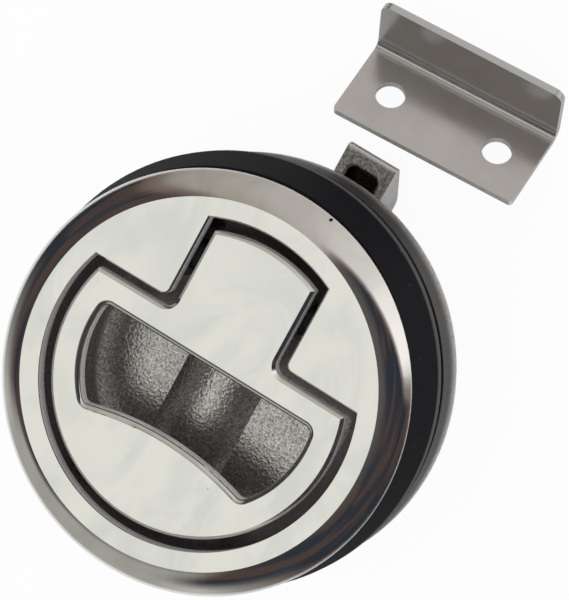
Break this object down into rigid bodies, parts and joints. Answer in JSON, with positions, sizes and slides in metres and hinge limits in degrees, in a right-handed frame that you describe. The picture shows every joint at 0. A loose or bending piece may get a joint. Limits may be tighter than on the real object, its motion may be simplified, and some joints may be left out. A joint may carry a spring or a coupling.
{
  "type": "slam latch",
  "caption": "Round flush slam latch with a T handle on a hinge, a spring bolt with a slam ramp behind the front plate, and a folded keeper plate.",
  "frame": {"origin": "centre of the front plate's rear face, where it seats on the panel", "axes": "+Z out of the front of the latch, +Y along the bolt to the keeper, +X to the right as seen from the front with the bolt pointing up"},
  "size_m": [0.085, 0.1187, 0.0546],
  "materials": {
    "polished_alloy": "polished",
    "cast_alloy": "as cast",
    "black_rubber": "matt",
    "bolt_metal": "as cast, ground at the sides",
    "sheet_metal": "satin",
    "black_plastic": "moulded",
    "machined_steel": "machined",
    "spring_wire": "drawn"
  },
  "bodies": {
    "root": {"housing": "polished_alloy", "spacer": "black_rubber", "case_gasket": "black_rubber", "rear_case": "cast_alloy", "clamp_screws": "machined_steel", "pivot_pin": "machined_steel", "pivot_clip_left": "spring_wire", "pivot_clip_right": "spring_wire", "pin_sleeve_left": "black_plastic", "pin_sleeve_right": "black_plastic", "rest_pad_left": "black_rubber", "rest_pad_right": "black_rubber", "lever_spring": "spring_wire", "bolt_spring": "spring_wire", "spring_guide": "machined_steel", "case_cover": "sheet_metal", "cover_screws": "machined_steel", "keeper": "sheet_metal"},
    "lever": {"lever": "polished_alloy"},
    "bolt": {"bolt": "bolt_metal"}
  },
  "joints": [
    {"name": "lever_hinge", "type": "hinge", "parent": "root", "child": "lever", "pos_m": [0, 0.0205, -0.002], "axis": [-1, 0, 0], "range_deg": [0, 22], "stiffness_Nm_per_rad": 0.25, "springref_deg": -20.05, "deforming": ["lever_spring"]},
    {"name": "bolt_slide", "type": "slide", "parent": "root", "child": "bolt", "axis": [0, -1, 0], "range_m": [0, 0.014], "deforming": ["bolt_spring"]}
  ],
  "couplings": [
    {"joint": "bolt_slide", "follows": "lever_hinge", "m_per_rad": 0.03646}
  ]
}
